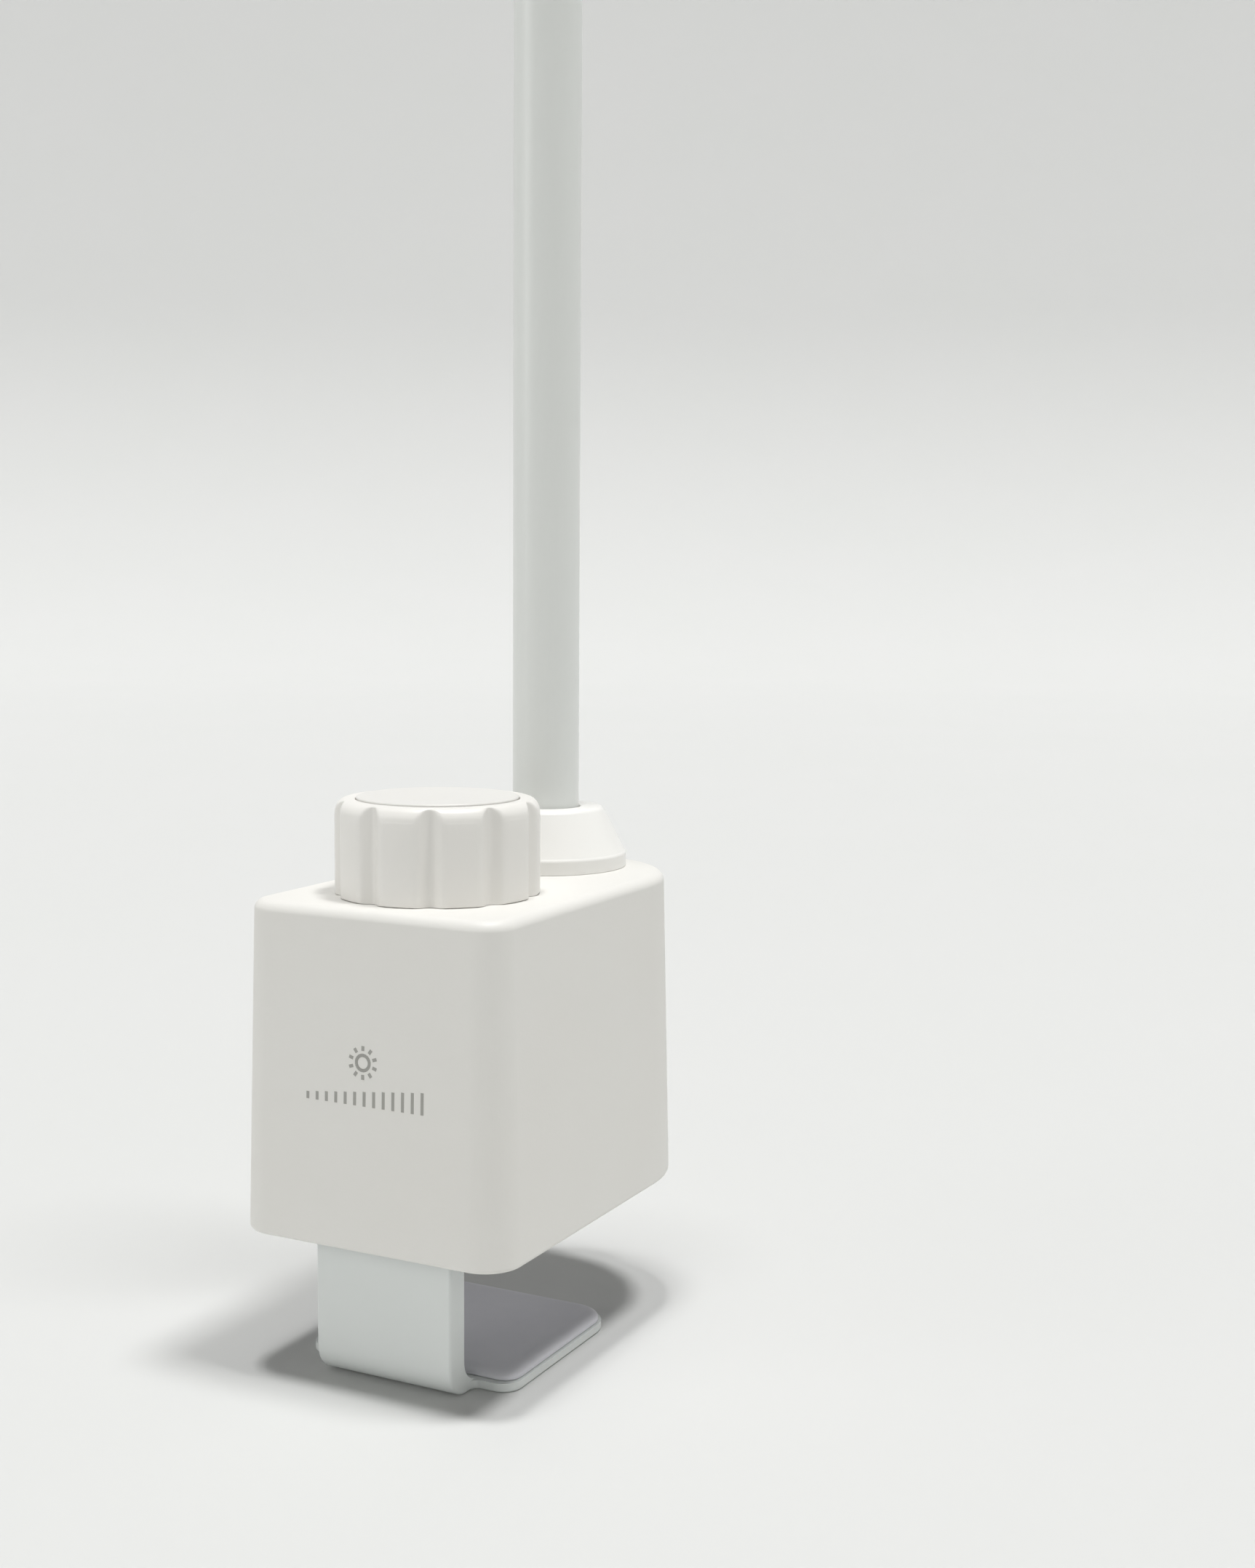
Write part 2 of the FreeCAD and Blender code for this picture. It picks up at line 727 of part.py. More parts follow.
def dimmer_button():
    flange_top = bar_ceiling - clear
    cap = disc(button_r, flange_top - 1.1, bar_top + 0.7, 0, button_y)
    cap = cap.makeFillet(0.4, level_edges(cap, bar_top + 0.7))
    cap = cap.fuse(disc(button_r + 1.2, flange_top - 1.1, flange_top, 0, button_y))
    stem_low = control_top + 1.4 + clear + button_travel
    return cap.fuse(disc(1.6, stem_low, flange_top, 0, button_y))


def head_screws():
    screws = []
    for x, y in bracket_screws:
        screws.append(pan_screw(x, y, bar_ceiling - bracket_thick, 2.2, 1.5, small_screw_r, bracket_thick + 1.0))
    for x, y in spacer_screws:
        seat = control_top - board_thick
        screws.append(pan_screw(x, y, seat, 2.2, 1.5, small_screw_r, bar_ceiling + 1.0 - seat))
    return Part.makeCompound(screws)


NODES = (
    housing_shell, base_plate, upper_pad, base_screws, jaw_guide, screw_bush, thrust_washer,
    clamp_screw, clamp_knob, knob_insert, knob_disc,
    jaw_strap, jaw_nut, jaw_rivets, jaw_pad,
    pole_collar, collar_screws, pole_bush, friction_washer, pole_retainer, retainer_grubs,
    pole_tube, wire_pole, wire_plug,
    wire_base, driver_board, driver_parts, dc_jack, jack_nut,
    yoke, hinge_bolt, hinge_nut, hinge_discs,
    head_bracket, head_channel, cap_inner, cap_outer, diffuser, led_board, led_chips,
    control_board, board_spacers, tact_switch, dimmer_button, head_screws,
)

os.makedirs("parts", exist_ok=True)
for make in NODES:
    shape = make()
    if not shape.isValid() or not shape.Solids:
        raise ValueError(make.__name__ + " isn't a valid solid")
    shape.exportStep("parts/" + make.__name__ + ".step")
    print(make.__name__, len(shape.Solids), round(shape.Volume / 1000, 3), "cm3")
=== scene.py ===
import json
import math

import bmesh
import bpy
from mathutils import Matrix, Vector

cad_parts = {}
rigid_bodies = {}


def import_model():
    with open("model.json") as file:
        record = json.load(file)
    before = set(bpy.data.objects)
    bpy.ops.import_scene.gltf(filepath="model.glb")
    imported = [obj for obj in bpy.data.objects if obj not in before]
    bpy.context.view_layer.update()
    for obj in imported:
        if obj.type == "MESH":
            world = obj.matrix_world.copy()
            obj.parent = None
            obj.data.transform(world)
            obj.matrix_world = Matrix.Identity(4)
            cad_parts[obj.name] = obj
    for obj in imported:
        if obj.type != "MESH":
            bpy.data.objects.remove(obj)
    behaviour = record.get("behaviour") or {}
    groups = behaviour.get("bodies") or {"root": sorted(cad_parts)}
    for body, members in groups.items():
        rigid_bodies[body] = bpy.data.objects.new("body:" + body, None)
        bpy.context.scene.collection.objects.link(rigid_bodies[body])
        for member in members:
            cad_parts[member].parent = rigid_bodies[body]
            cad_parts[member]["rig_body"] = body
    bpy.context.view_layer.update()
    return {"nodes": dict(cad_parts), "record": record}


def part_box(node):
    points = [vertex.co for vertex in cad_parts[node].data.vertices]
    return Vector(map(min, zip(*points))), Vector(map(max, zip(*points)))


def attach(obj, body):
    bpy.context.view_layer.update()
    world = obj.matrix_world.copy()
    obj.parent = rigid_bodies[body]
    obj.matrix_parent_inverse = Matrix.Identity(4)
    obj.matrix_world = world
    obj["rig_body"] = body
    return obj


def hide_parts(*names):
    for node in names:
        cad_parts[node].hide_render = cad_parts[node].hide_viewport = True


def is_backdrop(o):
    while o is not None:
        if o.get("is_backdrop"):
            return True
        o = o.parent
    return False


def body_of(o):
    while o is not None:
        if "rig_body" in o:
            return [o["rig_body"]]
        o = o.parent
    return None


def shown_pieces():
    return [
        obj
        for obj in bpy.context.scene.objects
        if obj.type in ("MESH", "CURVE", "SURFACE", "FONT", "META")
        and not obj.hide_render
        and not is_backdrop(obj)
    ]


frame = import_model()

# Clamp-on reading lamp. Every place is taken from the frame. Lengths are in millimetres, and are
# turned to metres where a mesh is made.

# metres in a millimetre
MM = 0.001

# ---- sizes, mm --------------------------------------------------------------
# clamp housing: a drafted box with small corners at the front and wide ones at the rear
HOUSING_WIDTH = 51.8
HOUSING_FRONT = -23.0
HOUSING_REAR = 54.7
DRAFT = math.tan(math.radians(1.44))
FRONT_CORNER = 6.5
REAR_CORNER = 22.4
TOP_ROUNDING = 1.8
TOP_LIP = 1.5
LOWER_ROUNDING = 0.75
LIP_ROUNDING = 0.3
INNER_ROUNDING = 0.6
WALL = 2.2
TOP_WALL = 2.4
WASHER_RECESS = 10
BUSH_HOLE_RADIUS = 6.5
POLE_HOLE_RADIUS = 7.2
JACK_RADIUS = 4.0
JACK_HEIGHT = 16.2

# knob: a turned outline with ten soft flutes, hollow round the boss that holds its insert
KNOB_RADIUS = 17.25
KNOB_SHOULDER_DROP = 2.6
KNOB_SHOULDER_IN = 1.8
KNOB_SKIRT = 0.18
KNOB_FOOT = 0.25
KNOB_WALL = 4
KNOB_LIP = 1.6
KNOB_CROWN = 4.5
KNOB_RIM = 0.5
KNOB_DISC_RADIUS = 13.8
KNOB_DISC_PROUD = 0.35
BOSS_RADIUS = 9.0
INSERT_RADIUS = 6.0
INSERT_LENGTH = 9.0
FLUTES = 10
FLUTE_DEPTH = 1.35
FLUTE_HALF_WIDTH = 2.6
FLUTE_BLEND = 0.25
FLUTE_PHASE = math.radians(9.6)

# collar and pole
COLLAR_BAND = 2.6
COLLAR_STEP_IN = 0.25
COLLAR_STEP_UP = 0.3
COLLAR_TOP_RADIUS = 10.5
COLLAR_BORE = 6.4
COLLAR_LIP = 1.5
POLE_WALL = 1

# pads
PAD_ROLL = 2.4
PAD_EDGE = 0.4
PAD_FRONT_CORNER = 3.0
PAD_REAR_CORNER = 5.5
UPPER_PAD_CORNER = 4.0

# printed mark
STROKE_WIDTH = 0.55
INK_FILM = 0.03
INK_SUNK = 0.02
SUN_CENTRE = Vector((-0.3, 32.0))
SUN_RADIUS = 1.25
RAYS = 10
RAY_START = 1.95
RAY_END = 2.75
TICKS = 13
TICK_ROW = 22.0
TICK_FOOT = 24.9
TICK_SHORTEST = 1.2
TICK_GROWTH = 2.4

# light bar: channel, end caps, diffuser and button
BAR_WALL = 1.6
BAR_CORNER = 3.0
BAR_INNER_CORNER = 0.8
BAR_EDGE = 0.35
CAP_EDGE = 0.3
CAP_CROWN = 2.5
CAP_CROWN_FLATTENING = 0.32
# the plug's steps: how deep each lies, and how far it stays in from the sides, bottom and top
CAP_PLUG = (
    (3.0, 0, 0, 0),
    (3.001, 1.65, 3.1, 1.85),
    (6.8, 1.65, 3.1, 1.85),
    (7.0, 1.9, 3.3, 2.05),
)
RIBS = 24
RIB_MARGIN = 0.4
RIB_MIDDLE = 0.13
RIB_SWING = 0.12
BUTTON_RADIUS = 5.0
BUTTON_GAP = 0.35
BUTTON_PROUD = 0.7
BUTTON_SLACK = 0.3
BUTTON_RIM = 0.7
BUTTON_DISH = 0.35
BUTTON_FLANGE = 1.1
BUTTON_STEM = 1.6

# flat ends of a turned piece are closed by one small face of this radius
CORE = 0.4

# degrees between two faces from which their edge is shaded as a sharp one
CREASE = 38


def span(node):
    """Lowest and highest corner of a CAD node, in mm."""
    low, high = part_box(node)
    return low / MM, high / MM


def middle_y(node):
    """The Y of a CAD node's middle, in mm."""
    low, high = span(node)
    return (low.y + high.y) / 2


# ---- outlines ---------------------------------------------------------------
def eased(corners, closed=True, steps=5):
    """An outline with its corners rounded. Each corner is (u, v) or (u, v, radius)."""
    points = []
    count = len(corners)
    for index, corner in enumerate(corners):
        here = Vector(corner[:2])
        radius = corner[2] if len(corner) > 2 else 0
        if not radius or (not closed and index in (0, count - 1)):
            points.append(here)
            continue
        before = (Vector(corners[index - 1][:2]) - here).normalized()
        after = (Vector(corners[(index + 1) % count][:2]) - here).normalized()
        half = before.angle(after) / 2
        centre = here + (before + after).normalized() * radius / math.sin(half)
        first = here + before * radius / math.tan(half) - centre
        last = here + after * radius / math.tan(half) - centre
        turn = math.atan2(first.cross(last), first.dot(last))
        for step in range(steps + 1):
            points.append(centre + Matrix.Rotation(turn * step / steps, 2) @ first)
    return points


def plan(half, front, rear, front_corner, rear_corner, steps=14):
    """Plan of a box with one corner radius at the front and one at the rear."""
    return eased([
        (-half, front, front_corner), (half, front, front_corner),
        (half, rear, rear_corner), (-half, rear, rear_corner),
    ], steps=steps)


# ---- mesh making --------------------------------------------------------------
def skin(rings, closed=False):
    """Skins a stack of equal rings of points in mm, and caps both ends or joins them."""
    bm = bmesh.new()
    loops = [[bm.verts.new(Vector(point) * MM) for point in ring] for ring in rings]
    pairs = list(zip(loops[:-1], loops[1:]))
    if closed:
        pairs.append((loops[-1], loops[0]))
    for here, there in pairs:
        for index in range(len(here)):
            following = (index + 1) % len(here)
            bm.faces.new((here[index], here[following], there[following], there[index]))
    if not closed:
        bm.faces.new(loops[0][::-1])
        bm.faces.new(loops[-1])
    bmesh.ops.recalc_face_normals(bm, faces=bm.faces)
    return bm


def plan_stack(profile, half, front, rear, front_corner, rear_corner, steps=14):
    """Skins plans of a box that follow (outset, z) points: each plan is offset by its outset."""
    rings = []
    for outset, z in profile:
        outline = plan(half + outset, front - outset, rear + outset, front_corner + outset,
                       rear_corner + outset, steps)
        rings.append([(x, y, z) for x, y in outline])
    return skin(rings)


def turned(profile, y=0.0, steps=128, closed=False):
    """Turns (radius, z) points about the vertical axis at x = 0 and the given y."""
    rings = []
    for radius, z in profile:
        ring = []
        for step in range(steps):
            angle = step * math.tau / steps
            ring.append((radius * math.cos(angle), y + radius * math.sin(angle), z))
        rings.append(ring)
    return skin(rings, closed)


def drawn_along_y(section, y0, y1):
    """Extrusion along Y of a closed (x, z) outline."""
    return skin([[(x, y, z) for x, z in section] for y in (y0, y1)])


def shade_evenly(made):
    """Weights a piece's normals by face size, so that its flats look flat beside its roundings."""
    made.modifiers.new("even_shading", "WEIGHTED_NORMAL").keep_sharp = True


def piece(name, bm, body, material, replaced=(), crease=CREASE):
    """Turns a bmesh into a shaded piece that rides on its body."""
    mesh = bpy.data.meshes.new(name)
    bm.to_mesh(mesh)
    bm.free()
    mesh.materials.append(material)
    mesh.polygons.foreach_set("use_smooth", [True] * len(mesh.polygons))
    mesh.set_sharp_from_angle(angle=math.radians(crease))
    made = bpy.data.objects.new(name, mesh)
    bpy.context.scene.collection.objects.link(made)
    shade_evenly(made)
    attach(made, body)
    if replaced:
        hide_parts(*replaced)
    return made


def drill(made, centre, axis, radius, length, steps=96):
    """Cuts a round hole through a piece. The centre is the middle of the drill, in mm."""
    bm = bmesh.new()
    turn = Vector((0, 0, 1)).rotation_difference(Vector(axis)).to_matrix().to_4x4()
    place = Matrix.Translation(Vector(centre) * MM) @ turn
    bmesh.ops.create_cone(bm, cap_ends=True, segments=steps, radius1=radius * MM, radius2=radius * MM,
                          depth=length * MM, matrix=place)
    mesh = bpy.data.meshes.new("drill")
    bm.to_mesh(mesh)
    bm.free()
    tool = bpy.data.objects.new("drill", mesh)
    bpy.context.scene.collection.objects.link(tool)
    made.modifiers.clear()
    cut = made.modifiers.new("cut", "BOOLEAN")
    cut.operation = "DIFFERENCE"
    cut.object = tool
    cut.solver = "EXACT"
    bpy.context.view_layer.update()
    drilled = made.evaluated_get(bpy.context.evaluated_depsgraph_get())
    result = bpy.data.meshes.new_from_object(drilled)
    made.modifiers.clear()
    made.data = result
    result.name = made.name
    result.set_sharp_from_angle(angle=math.radians(CREASE))
    shade_evenly(made)
    bpy.data.objects.remove(tool)


# ---- materials ----------------------------------------------------------------
def linear(hex_colour):
    """An sRGB hex value as linear RGBA."""
    parts = [int(hex_colour[i:i + 2], 16) / 255 for i in (1, 3, 5)]
    return tuple(p / 12.92 if p <= 0.04045 else ((p + 0.055) / 1.055) ** 2.4 for p in parts) + (1.0,)


def per_mm(size):
    """Texture scale that gives features of this many millimetres."""
    return 1 / (size * MM)


def add(tree, kind, settings=None, links=None):
    """Adds one node; settings are its properties or inputs, links join its inputs to outputs."""
    made = tree.nodes.new("ShaderNode" + kind)
    for key, value in (settings or {}).items():
        if isinstance(key, str) and hasattr(made, key):
            setattr(made, key, value)
        else:
            made.inputs[key].default_value = value
    for key, socket in (links or {}).items():
        tree.links.new(socket, made.inputs[key])
    return made


def finish(name, colour, roughness, metallic=0.0, ior=1.5, shade=None, patch=30.0,
           grain=0.4, depth=0.01, stretch=(1, 1, 1), spread=0.06, coat=0.0):
    """A material whose tint drifts over patches and whose surface has a grain.

    shade is the second tint, patch and grain are sizes in mm, depth is the
    grain's height in mm, stretch draws the grain out along an axis and spread
    is how far the roughness wanders."""
    made = bpy.data.materials.new(name)
    made.use_nodes = True
    tree = made.node_tree
    tree.nodes.clear()
    place = add(tree, "TexCoord").outputs["Object"]
    drift = add(tree, "TexNoise", {"Scale": per_mm(patch), "Detail": 3.0, "Roughness": 0.5},
                {"Vector": place})
    tint = add(tree, "Mix", {"data_type": "RGBA", 6: linear(colour), 7: linear(shade or colour)},
               {0: drift.outputs["Fac"]})
    along = add(tree, "Mapping", {"Scale": stretch}, {"Vector": place})
    rough_grain = add(tree, "TexNoise", {"Scale": per_mm(grain), "Detail": 2.0, "Roughness": 0.55},
                      {"Vector": along.outputs["Vector"]})
    wander = add(tree, "MapRange", {"To Min": roughness - spread, "To Max": roughness + spread},
                 {"Value": rough_grain.outputs["Fac"]})
    relief = add(tree, "Bump", {"Strength": 1.0, "Distance": depth * MM},
                 {"Height": rough_grain.outputs["Fac"]})
    shader = add(tree, "BsdfPrincipled", {"Metallic": metallic, "IOR": ior, "Coat Weight": coat}, {
        "Base Color": tint.outputs[2],
        "Roughness": wander.outputs["Result"],
        "Normal": relief.outputs["Normal"],
    })
    add(tree, "OutputMaterial", {}, {"Surface": shader.outputs["BSDF"]})
    return made


# ABS moulded in a spark-eroded tool: a fine even grain that keeps it matt, warm white
housing_abs = finish("grained_abs", "#E1E0DC", 0.52, ior=1.54, shade="#DEDCD7", grain=0.45, depth=0.012)
# ABS moulded in a smoother tool: a soft gloss on the parts that the hand turns and presses
smooth_abs = finish("polished_abs", "#E7E5E1", 0.38, ior=1.54, shade="#E4E2DD", grain=0.9, depth=0.006)
# the same ABS, moulded and pressed in as a separate disc: a shade greyer than the ring round it
disc_abs = finish("polished_grey_white_abs", "#DDDCD8", 0.4, ior=1.54, shade="#DAD8D4", grain=0.9,
                  depth=0.006)
# the same ABS from a polished tool, a little glossier than the knob. It is made whiter than the housing as
# painted light, for the light that the collar's upward faces catch
collar_abs_painted_lighter = finish("polished_abs_painted_lighter", "#EEEDEA", 0.34, ior=1.54, shade="#EAE9E5", grain=0.9,
                    depth=0.006)
# powder coat baked on pressed steel: low gloss with a slow orange-peel ripple, cooler than the plastic
powder_coat = finish("powder_coated_steel", "#DBDEDC", 0.42, ior=1.5, shade="#D7DBD9", grain=1.3,
                     depth=0.02)
# sprayed paint on drawn steel tube: satin, nearly smooth, faint run along the tube
tube_paint = finish("sprayed_steel_tube", "#E0E2DF", 0.33, ior=1.5, shade="#DCDEDB", grain=1.6, depth=0.008,
                    stretch=(1, 1, 0.12), coat=0.15)
# paint on extruded aluminium: satin, with the die's fine lines drawn out along the bar
bar_paint = finish("painted_aluminium_extrusion", "#E0E0DD", 0.36, ior=1.5, shade="#DCDCDA", grain=0.5,
                   depth=0.006, stretch=(1, 0.03, 1))
# cast silicone rubber: dead matt, faint speckle of dust held in the surface
silicone = finish("cast_silicone", "#D6D5DA", 0.72, ior=1.43, shade="#D0D0D5", patch=4.0, grain=0.3,
                  depth=0.015)
# acetal moulded for running fits: milky and slightly waxy
acetal = finish("moulded_acetal", "#D9D8D2", 0.34, ior=1.48, shade="#D2D1CA", grain=0.8, depth=0.005)
# zinc electroplate on steel: pale grey metal with soft passivated clouds
zinc_plate = finish("zinc_plated_steel", "#C9CACC", 0.34, metallic=1.0, shade="#B4B8BE", patch=3.0,
                    grain=0.35, depth=0.004)
# brass turned on a lathe: warm metal with fine tool rings across its length
turned_brass = finish("turned_brass", "#D8B46A", 0.28, metallic=1.0, shade="#C9A257", patch=5.0,
                      grain=0.3, depth=0.006, stretch=(0.1, 0.1, 1))
# glass-filled nylon, moulded black: dull with a coarse grain where the fibres lie. On the base plate under
# the housing this black is painted shade, standing in for the deep shadow there
black_nylon_and_painted_underside_shade = finish("moulded_black_nylon_and_painted_shade", "#1D1E1F", 0.55, ior=1.53, shade="#262728", grain=0.35,
                     depth=0.012)
# phosphor gel cast over the chips: yellow and satin
phosphor = finish("cast_phosphor_gel", "#E9D27A", 0.4, ior=1.45, shade="#E2C765", patch=1.5, grain=0.3,
                  depth=0.01)
# white solder mask screened on an aluminium board: smooth with a hint of the copper under it
white_mask = finish("screened_solder_mask", "#E8E9E6", 0.3, ior=1.5, shade="#DDDFDC", patch=6.0, grain=2.5,
                    depth=0.01)
# PVC extruded over a wire: soft white jacket with slight stretch lines
wire_jacket = finish("extruded_pvc", "#E4E4E1", 0.45, ior=1.53, shade="#DEDEDA", grain=0.5, depth=0.01,
                     stretch=(1, 1, 0.1))
# ink padded on to the finished moulding: flat grey, thin and a little uneven
pad_ink = finish("printed_grey_ink", "#9B9A95", 0.6, shade="#A3A29D", patch=1.2, grain=0.4, depth=0.004)


def opal_acrylic():
    """Extruded opal acrylic: milky all through, satin skin, light carried a little way inside."""
    made = finish("extruded_opal_acrylic", "#EBEBE8", 0.32, ior=1.49, shade="#E8E8E5", grain=0.8,
                  depth=0.004, stretch=(1, 0.05, 1))
    light_reach = 1.5 * MM
    shader = made.node_tree.nodes["Principled BSDF"]
    shader.inputs["Subsurface Weight"].default_value = 0.35
    shader.inputs["Subsurface Radius"].default_value = (light_reach, light_reach, light_reach)
    shader.inputs["Subsurface Scale"].default_value = 1.0
    return made


def glass_fibre_board():
    """Pressed glass-fibre laminate under green mask: the cloth shows as faint crossed ridges.

    They are drawn far coarser than the cloth's own threads, as broad as its slow waves."""
    made = finish("glass_fibre_laminate", "#1F5B3C", 0.35, ior=1.55, shade="#276845", patch=2.0, grain=0.6,
                  depth=0.01)
    tree = made.node_tree
    place = tree.nodes["Texture Coordinate"].outputs["Object"]
    ridge_spacing = 5.0265
    ridge_height = 0.02
    # at a scale of 1, this node's bands lie this far apart
    wave_length = 0.314
    ridges = []
    for direction in ("X", "Y"):
        ridge = add(tree, "TexWave", {"bands_direction": direction, "Distortion": 0.4,
                                      "Scale": wave_length * per_mm(ridge_spacing)}, {"Vector": place})
        ridges.append(ridge.outputs["Fac"])
    weave = add(tree, "Math", {"operation": "MAXIMUM"}, {0: ridges[0], 1: ridges[1]})
    relief = add(tree, "Bump", {"Strength": 1.0, "Distance": ridge_height * MM},
                 {"Height": weave.outputs[0], "Normal": tree.nodes["Bump"].outputs["Normal"]})
    tree.links.new(relief.outputs["Normal"], tree.nodes["Principled BSDF"].inputs["Normal"])
    return made


opal = opal_acrylic()
green_board = glass_fibre_board()

SLOT_FINISH = {
    "housing_plastic": housing_abs,
    "knob_plastic": smooth_abs,
    "collar_plastic": collar_abs_painted_lighter,
    "cap_plastic": smooth_abs,
    "inner_plastic": acetal,
    "painted_steel": powder_coat,
    "pole_paint": tube_paint,
    "bar_paint": bar_paint,
    "pad_rubber": silicone,
    "steel": zinc_plate,
    "brass": turned_brass,
    # on the base plate under the housing this black is painted shade
    "black_plastic": black_nylon_and_painted_underside_shade,
    "green_board": green_board,
    "white_board": white_mask,
    "led_chip": phosphor,
    "opal_diffuser": opal,
    "wire_jacket": wire_jacket,
}


# ---- clamp housing ----------------------------------------------------------------
def housing_piece():
    """Open-bottomed moulded box: plans run up the inside, round the lower edge and over the top."""
    low, high = span("housing_shell")
    base = low.z
    top = high.z
    ceiling = top - TOP_WALL
    lean = DRAFT * (top - base)
    walls = eased([
        (-WALL - DRAFT * (ceiling - base), ceiling, INNER_ROUNDING),
        (-WALL, base, LIP_ROUNDING),
        (0, base, LOWER_ROUNDING),
        (-lean, top, TOP_ROUNDING),
        (-TOP_ROUNDING - lean - TOP_LIP, top),
    ], closed=False, steps=8)
    shell = plan_stack(walls, HOUSING_WIDTH / 2, HOUSING_FRONT, HOUSING_REAR, FRONT_CORNER, REAR_CORNER)
    made = piece("housing_moulding", shell, "base", housing_abs, ["housing_shell"])
    washer_low, washer_high = span("thrust_washer")
    recess_middle = washer_low.z + WASHER_RECESS / 2
    drill(made, (0, 0, recess_middle), (0, 0, 1), washer_high.x, WASHER_RECESS)
    drill(made, (0, 0, top), (0, 0, 1), BUSH_HOLE_RADIUS, length=20)
    drill(made, (0, middle_y("pole_tube"), top), (0, 0, 1), POLE_HOLE_RADIUS, length=12)
    rear_wall = span("dc_jack")[1].y - 3
    drill(made, (0, rear_wall, JACK_HEIGHT), (0, 1, 0), JACK_RADIUS, length=16)
    return made


def soft_least(a, b, blend):
    """The smaller of two radii: eased where they cross, and exact where they are equal or far apart."""
    share = max(0.0, min(1.0, 0.5 + 0.5 * (b - a) / blend))
    return b * (1 - share) + a * share - blend * share * (1 - share) * (0 if a == b else 1)


def flute_floor(angle):
    """Radius of the knob's side at an angle, where a flute's hollow dips in on a cosine."""
    pitch = math.tau / FLUTES
    off = ((angle - FLUTE_PHASE + pitch / 2) % pitch - pitch / 2) * KNOB_RADIUS
    dip = FLUTE_DEPTH * (0.5 + 0.5 * math.cos(math.pi * min(1, abs(off) / FLUTE_HALF_WIDTH)))
    return KNOB_RADIUS - dip


def knob_outline():
    """The plain knob as (radius, z) points, from the insert's seat round the side to the disc's seat."""
    base = span("clamp_knob")[0].z - KNOB_SKIRT
    disc_seat, disc_top = (corner.z for corner in span("knob_disc"))
    top = disc_top - KNOB_DISC_PROUD
    shoulder = top - KNOB_SHOULDER_DROP
    rim = KNOB_RADIUS - KNOB_SHOULDER_IN
    inner = KNOB_RADIUS - KNOB_WALL
    foot_rows, side_rows, shoulder_rows = 4, 8, 14
    outline = [
        (INSERT_RADIUS, base + INSERT_LENGTH), (INSERT_RADIUS, base), (BOSS_RADIUS, base),
        (BOSS_RADIUS, top - KNOB_CROWN), (inner, top - KNOB_CROWN), (inner, base),
        (KNOB_RADIUS - KNOB_LIP, base),
    ]
    for row in range(foot_rows + 1):
        angle = math.radians(90 * row / foot_rows)
        radius = KNOB_RADIUS - KNOB_FOOT * (1 - math.sin(angle))
        outline.append((radius, base + KNOB_FOOT * (1 - math.cos(angle))))
    for row in range(1, side_rows):
        up = (shoulder - base - KNOB_FOOT) * row / side_rows
        outline.append((KNOB_RADIUS, base + KNOB_FOOT + up))
    for row in range(shoulder_rows + 1):
        angle = math.radians(90 * row / shoulder_rows)
        radius = rim + KNOB_SHOULDER_IN * math.cos(angle)
        outline.append((radius, shoulder + KNOB_SHOULDER_DROP * math.sin(angle)))
    outline += [tuple(point) for point in eased([
        (rim - KNOB_RIM, top), (KNOB_DISC_RADIUS, top, 0.2), (KNOB_DISC_RADIUS, disc_seat, 0.1),
        (INSERT_RADIUS - 2, disc_seat),
    ], closed=False, steps=4)]
    return outline


def knob_piece():
    """Moulded knob: the plain outline turned, with soft flutes that run out through its shoulder."""
    columns = FLUTES * 32
    fluted_from = KNOB_DISC_RADIUS + 0.3
    rings = []
    for radius, z in knob_outline():
        ring = []
        for column in range(columns):
            angle = column * math.tau / columns
            here = radius
            if radius > fluted_from:
                here = soft_least(radius, flute_floor(angle), FLUTE_BLEND)
            ring.append((here * math.cos(angle), here * math.sin(angle), z))
        rings.append(ring)
    return piece("knob_moulding", skin(rings), "knob", smooth_abs, ["clamp_knob"],
                 crease=50)


def knob_disc_piece():
    """Thin moulded disc let into the knob's top, with a rounded upper edge."""
    low, high = span("knob_disc")
    profile = eased([(CORE, high.z), (high.x, high.z, 0.3), (high.x, low.z, 0.1), (CORE, low.z)],
                    closed=False)
    return piece("knob_top_disc", turned(profile), "knob", disc_abs, ["knob_disc"])


def collar_piece():
    """Moulded collar: an upright band, a shallow step and a cone up to the pole."""
    low, high = span("pole_collar")
    outer = high.x
    band = low.z + COLLAR_BAND
    lip = high.z - COLLAR_LIP
    profile = eased([
        (POLE_HOLE_RADIUS, low.z), (outer, low.z, 0.2), (outer, band, 0.8),
        (outer - COLLAR_STEP_IN, band + COLLAR_STEP_UP, 0.5), (COLLAR_TOP_RADIUS, high.z, 1.3),
        (COLLAR_BORE, high.z, 0.4), (COLLAR_BORE, lip), (POLE_HOLE_RADIUS, lip),
    ], steps=6)
    ring = turned(profile, middle_y("pole_collar"), closed=True)
    # the collar's whiter tone is painted light
    return piece("collar_moulding", ring, "base", collar_abs_painted_lighter, ["pole_collar"])


def pole_piece():
    """Drawn tube with its coat of paint, and both ends' edges broken."""
    low, high = span("pole_tube")
    outer = high.x
    inner = outer - POLE_WALL
    profile = eased([(inner, low.z, 0.15), (outer, low.z, 0.25), (outer, high.z, 0.25),
                     (inner, high.z, 0.15)], steps=3)
    tube = turned(profile, middle_y("pole_tube"), closed=True)
    return piece("pole_sleeve", tube, "pole", tube_paint, ["pole_tube"])


def jaw_pad_piece():
    """Cast pad with a low crowned rim: its edge rolls down over the last few millimetres."""
    low, high = span("jaw_pad")
    edge = low.z + PAD_EDGE
    rim_steps = 12
    profile = [(-1.5, low.z), (-0.2, low.z), (0, low.z + 0.15)]
    for step in range(rim_steps + 1):
        angle = math.radians(90 * step / rim_steps)
        profile.append((PAD_ROLL * (math.cos(angle) - 1), edge + (high.z - edge) * math.sin(angle)))
    sheet = plan_stack(profile, high.x, low.y, high.y, PAD_FRONT_CORNER, PAD_REAR_CORNER, steps=8)
    return piece("jaw_pad_sheet", sheet, "jaw", silicone, ["jaw_pad"])


